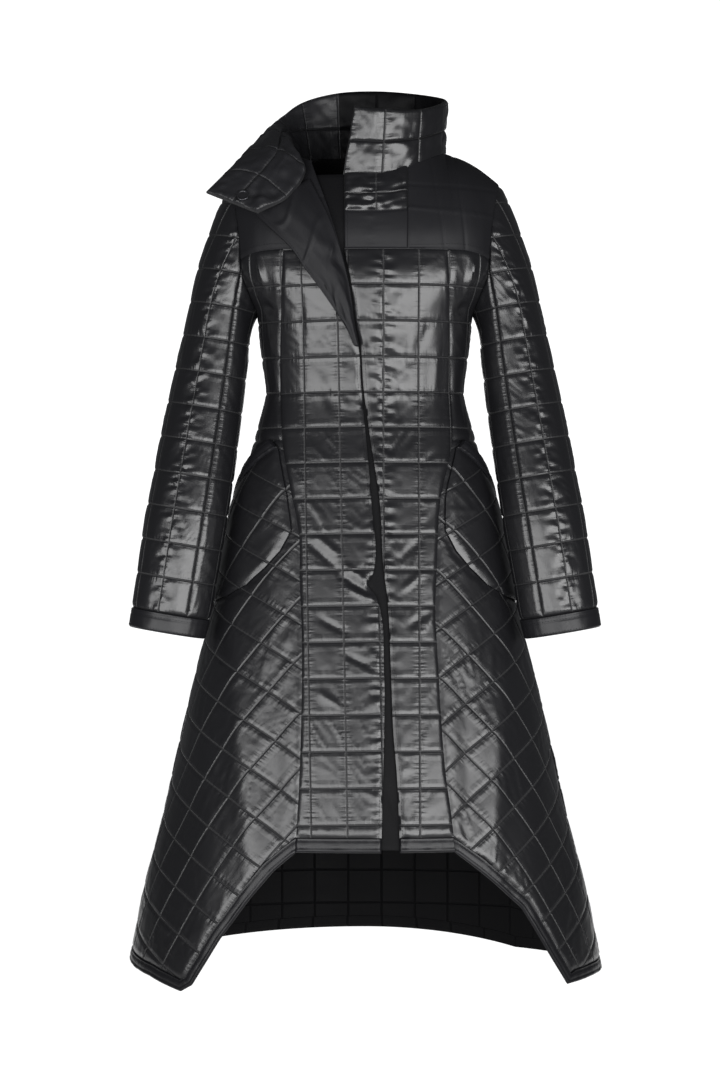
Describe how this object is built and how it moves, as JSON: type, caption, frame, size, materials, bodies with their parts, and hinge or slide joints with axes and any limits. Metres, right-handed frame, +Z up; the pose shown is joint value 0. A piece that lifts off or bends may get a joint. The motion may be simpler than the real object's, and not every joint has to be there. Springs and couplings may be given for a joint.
{
  "type": "long puffer coat",
  "caption": "Long quilted puffer coat with a flared skirt, pointed handkerchief hem, pouch pockets, open lapel and funnel collar, filled out as if worn.",
  "frame": {"origin": "base of the neck on the centre line, level with the front of the neckline and with the shoulder line in depth, where the wearer's shoulders hold the coat", "axes": "+Z up, the front faces -Y, the wearer's left side lies at +X"},
  "size_m": [0.6747, 0.4599, 1.2778],
  "materials": {
    "shell": "glossy black nylon, quilted over light padding",
    "matte": "matte black nylon",
    "binding": "glossy black nylon band",
    "snap": "dark enamelled metal"
  },
  "bodies": {
    "root": {"front_right": "shell", "front_left": "shell", "placket": "shell", "side_right": "shell", "side_left": "shell", "back": "shell", "skirt_right": "shell", "skirt_left": "shell", "pocket_right": "shell", "pocket_left": "shell", "sleeve_upper_right": "shell", "sleeve_upper_left": "shell", "sleeve_under_right": "shell", "sleeve_under_left": "shell", "collar": "shell", "yoke_right": "matte", "yoke_left": "matte", "yoke_back": "matte", "lapel": "matte", "underlap": "matte", "pocket_band_right": "binding", "pocket_band_left": "binding", "cuff_right": "binding", "cuff_left": "binding", "hem_front_right": "binding", "hem_front_left": "binding", "hem_skirt_right": "binding", "hem_skirt_left": "binding", "hem_back": "binding", "snap": "snap"}
  },
  "joints": []
}
